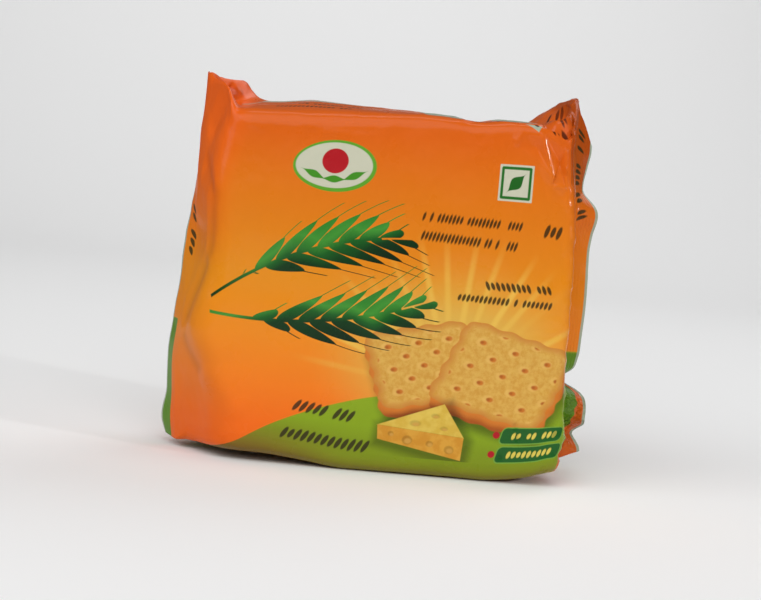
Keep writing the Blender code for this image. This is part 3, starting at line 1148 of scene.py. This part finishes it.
@grouped
def top_print(colour, u, v):
    """The top: small marks, bare panels, marks on the right ear, and painted shade with dark marks in the
    left ear's pocket.
    """
    rows = (
        ((-40, 119.5), (-17, 117.5), 2.2, 1.3, 0.25, 1000),
        ((-36, 124), (-12, 122.5), 2.2, 1.3, 0.25, 1050),
        ((12, 114.5), (34, 114.3), 2.2, 1.3, 0.25, 1100),
    )
    colour = marks(colour, u, v, DARK_INK, rows, cover=0.8)
    for x, y, width, height, corner in (
        (-12, 135.5, 76, 7, 1), (11.5, 136, 12, 44, 1.5), (34.5, 136, 12, 44, 1.5),
    ):
        colour = over(colour, BARE_FILM, ink(panel(u - x, v - y, width, height, corner), 0.5))
    corner = convex(u, v, [(36.2, 111.6), (40.4, 107.8), (41.6, 111)])
    colour = over(colour, BARE_FILM, ink(corner))
    ear_rows = (
        ((47, 132.5), (53, 130.5), 8, 1.5, 0.2, 1133),
        ((44.4, 111), (51, 116), 4.6, 1.5, 0.2, 1165),
        ((47.4, 119), (52.4, 120.6), 4.4, 1.5, 0.2, 1195),
        ((38.6, 109), (41, 112.6), 1.6, 1.5, 0.2, 1220),
    )
    colour = marks(colour, u, v, (44, 22, 12), ear_rows, cover=0.9)
    # Painted shade: a dark brown patch in the left ear's pocket, where the recess lies in shadow
    pocket = oval(u, v, -54.6, 146, 8.4, 11)
    colour = over(colour, (112, 48, 20), rise(pocket, 1.2, -2.4, 0, 0.85))
    pocket_rows = (((-57.4, 143), (-51.6, 149), 3.6, 2.2, 0.2, 1190),)
    return marks(colour, u, v, (60, 30, 14), pocket_rows, 0.6, 0.8)


@grouped
def back_print(colour, u, v):
    """The back: a pale panel with rows of marks, a ruled table and an ear of wheat."""
    x, h = -u, BACK_FOOT - v
    board, table = (-24, 80), (23, 80)
    row_height = 5.6
    colour = over(colour, OFF_WHITE, ink(panel(x - board[0], h - board[1], 42, 34, 2)))
    board_marks = block(x, h, board, 36, 7, 4.3, 2, 1.2, 1200)
    colour = over(colour, DARK_INK, ink(board_marks, 0.3, 0.9))
    box = panel(x - table[0], h - table[1], 38, 6 * row_height, 0.3)
    colour = over(colour, OFF_WHITE, ink(box))
    rules = 2.64 - size_of(part_of((h - table[1]) / row_height) - 0.5) * row_height
    split = size_of(x - table[0] - 6) - 0.16
    lines = most(least(rules, split, size_of(box) - 0.22), box - 0.2)
    colour = over(colour, DARK_INK, ink(lines, 0.3, 0.85))
    wide_cells = block(x, h, (table[0] - 7, table[1]), 20, 6, row_height, 2.2, 1.2, 1700)
    narrow_cells = block(x, h, (table[0] + 12, table[1]), 8, 6, row_height, 2.2, 1.2, 2300)
    colour = over(colour, DARK_INK, ink(least(wide_cells, narrow_cells), 0.3, 0.9))
    shape, share = wheat_ear(*along_line(x, h, (-42, 24), (6, 42)), 4, 7.4, 6, 3.3)
    shade = over((18, 60, 24), (54, 128, 44), rise(share, 0.2, 0.9))
    return over(colour, shade, ink(shape))


# Materials

FILM_ROUGHNESS = 0.3
FILM_FINISH = {"IOR": 1.4, "Specular IOR Level": 0.16, "Coat Weight": 0.16, "Coat Roughness": 0.08}
PAPER_FINISH = {"Base Color": (0.92, 0.92, 0.92, 1), "Roughness": 0.9, "Specular IOR Level": 0.1}
WORLD_LIGHT = {"Color": (1, 1, 1, 1), "Strength": 0.1}
# How fast the crimp's waves pass from place 4 to place 5, over the flat of the fin
CRIMP_TURNS = 2 * math.pi * (FIN_WIDTH - FIN_ROOT_RADIUS) / CRIMP_PITCH


def film_layout(name):
    """A place on the film, and its two coordinates, from one of the film's layouts."""
    place = Number(add_node("UVMap", {}, uv_map=name).outputs[0])
    split = add_node("SeparateXYZ", {0: place})
    return place, Number(split.outputs[0]), Number(split.outputs[1])


def finished(data, node_name, finish):
    """A new material or world, with constant values on the own slots of one of its nodes."""
    data.use_nodes = True
    node = data.node_tree.nodes[node_name]
    for name, value in finish.items():
        node.inputs[name].default_value = value
    return data, node


def film_material():
    material, shader = finished(bpy.data.materials.new("film_print"), "Principled BSDF", FILM_FINISH)
    Number.tree = material.node_tree
    place, u, v = film_layout("film")
    _, out, _ = film_layout("place")
    colour = background(u, v)
    colour = swoosh(rays(colour, u, v), u, v)
    colour = ears(picture(colour, u, v, place), u, v, place)
    for layer in (emblem, small_square, front_marks, banners, top_print, back_print):
        colour = layer(colour, u, v)
    # The ends' print with its painted light and shade, then painted shade along the left end's creases.
    colour = worn_folds(fin_print(colour, v, out), u, v)
    feed(shader.inputs["Base Color"], colour)

    smudge = mottle(place, 0.06, 4)
    roughness = rise(smudge, 0.3, 0.7, FILM_ROUGHNESS - 0.05, FILM_ROUGHNESS + 0.07)
    feed(shader.inputs["Roughness"], roughness + rise(u, -54, -62, 0, 0.22))

    near_end = rise(u, 38, 62, 0.1, 1)
    folded = size_of(mottle(place, 0.3, 3) - 0.5)
    ripple = mottle(place, 0.09, 2)
    crimp = sine(size_of(out) * CRIMP_TURNS) * rise(size_of(out), 3.9, 4.1)
    crimp = crimp * rise(mottle(place, 0.12, 2), 0.35, 0.65)
    crushed = rise(out, 3.7, 4) * rise(size_of(v - 18), 16, 12)
    height = ripple * 0.5 - folded * (near_end * 0.2 + crushed * 2.4) + crimp * 0.035
    bump = add_node("Bump", {"Strength": 1, "Distance": MILLIMETRE, "Height": height})
    feed(shader.inputs["Normal"], Number(bump.outputs[0]))
    return material


# Camera, lamps and backdrop, in metres

CAMERA_AZIMUTH = math.radians(-6)
CAMERA_ELEVATION = math.radians(5)
CAMERA_ROLL = math.radians(5.9)
CAMERA_DISTANCE = 0.665
CAMERA_TARGET = Vector((0, -0.024, 0.0572))
PHOTO_WIDTH = 761
PHOTO_HEIGHT = 600
TARGET_PIXEL = (391, 289)
PIXELS_PER_METRE = 3280

# Each lamp's place, target, width, power in watts, and full beam in degrees
LAMPS = {
    "key": ((-0.2, -0.87, 0.82), (0, 0, 0.06), 1.3, 8.7, 180),
    "fill": ((-0.9, -0.45, 0.6), (0, 0, 0.06), 0.9, 3.9, 180),
    "glint": ((0.706, -0.504, 0.334), (0.045, -0.024, 0.1), 0.052, 1.9, 180),
    "back": ((0.74, 0.74, 0.95), (0, 0, 0.06), 1, 1.5, 100),
    "wall_wash": ((0.1, 0.2, 1.5), (0.1, 1.3, 0.3), 0.8, 5.4, 120),
}


def add_object(name, data):
    added = bpy.data.objects.new(name, data)
    bpy.context.scene.collection.objects.link(added)
    return added


def add_camera():
    azimuth, raised = CAMERA_AZIMUTH, CAMERA_ELEVATION
    forward = Vector(
        (-math.sin(azimuth) * math.cos(raised), math.cos(azimuth) * math.cos(raised), -math.sin(raised))
    )
    level = Vector((math.cos(azimuth), math.sin(azimuth), 0))
    upright = level.cross(forward)
    right = level * math.cos(CAMERA_ROLL) + upright * math.sin(CAMERA_ROLL)
    up = upright * math.cos(CAMERA_ROLL) - level * math.sin(CAMERA_ROLL)
    axes = Matrix((right, up, -forward)).transposed().to_4x4()
    data = bpy.data.cameras.new("camera")
    data.sensor_width = 36
    data.lens = PIXELS_PER_METRE * CAMERA_DISTANCE / PHOTO_WIDTH * data.sensor_width
    data.shift_x = (PHOTO_WIDTH / 2 - TARGET_PIXEL[0]) / PHOTO_WIDTH
    data.shift_y = (TARGET_PIXEL[1] - PHOTO_HEIGHT / 2) / PHOTO_WIDTH
    data.clip_start = 0.01
    camera = add_object("camera", data)
    camera.matrix_world = Matrix.Translation(CAMERA_TARGET - forward * CAMERA_DISTANCE) @ axes
    bpy.context.scene.camera = camera


def add_light(name, position, target, size, power, beam):
    data = bpy.data.lights.new(name, "AREA")
    data.shape = "DISK"
    data.size = size
    data.energy = power
    data.spread = math.radians(beam)
    light = add_object(name, data)
    light.location = position
    towards = Vector(target) - Vector(position)
    light.rotation_euler = towards.to_track_quat("-Z", "Y").to_euler()


def add_backdrop():
    """A pale floor that curves up behind the pack, just past the top of the picture."""
    left = -0.28
    right = 0.54
    front = -1
    bend_start = 0.7
    radius = 0.6
    height = 0.26
    steps = 12
    last_turn = math.acos(1 - height / radius)
    outline = [(front, 0), (bend_start, 0)]
    for k in range(1, steps + 1):
        turn = last_turn * k / steps
        outline.append((bend_start + radius * math.sin(turn), radius - radius * math.cos(turn)))
    points = [(x, y, z) for y, z in outline for x in (left, right)]
    faces = [(2 * k, 2 * k + 1, 2 * k + 3, 2 * k + 2) for k in range(len(outline) - 1)]
    mesh = bpy.data.meshes.new("backdrop")
    mesh.from_pydata(points, [], faces)
    mesh.shade_smooth()
    paper, _ = finished(bpy.data.materials.new("backdrop_paper"), "Principled BSDF", PAPER_FINISH)
    mesh.materials.append(paper)
    backdrop = add_object("backdrop", mesh)
    backdrop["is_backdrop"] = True


points, along, around, outward = film_grid()
fin_waves(points, outward)
points += outward_normals(points) * relief(along, around, outward)[..., None]
points[..., 2] = np.maximum(points[..., 2], 0)
mesh = film_mesh(points, along, around, outward)
film = add_object("pack_film", mesh)
mesh.materials.append(film_material())
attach(film, "root")
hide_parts("cracker_pack")

add_camera()
add_backdrop()
bpy.context.scene.world, _ = finished(bpy.data.worlds.new("studio"), "Background", WORLD_LIGHT)
bpy.context.scene.view_settings.view_transform = "Standard"
for name, settings in LAMPS.items():
    add_light(name, *settings)

visual_box = [list(corner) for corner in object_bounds()]
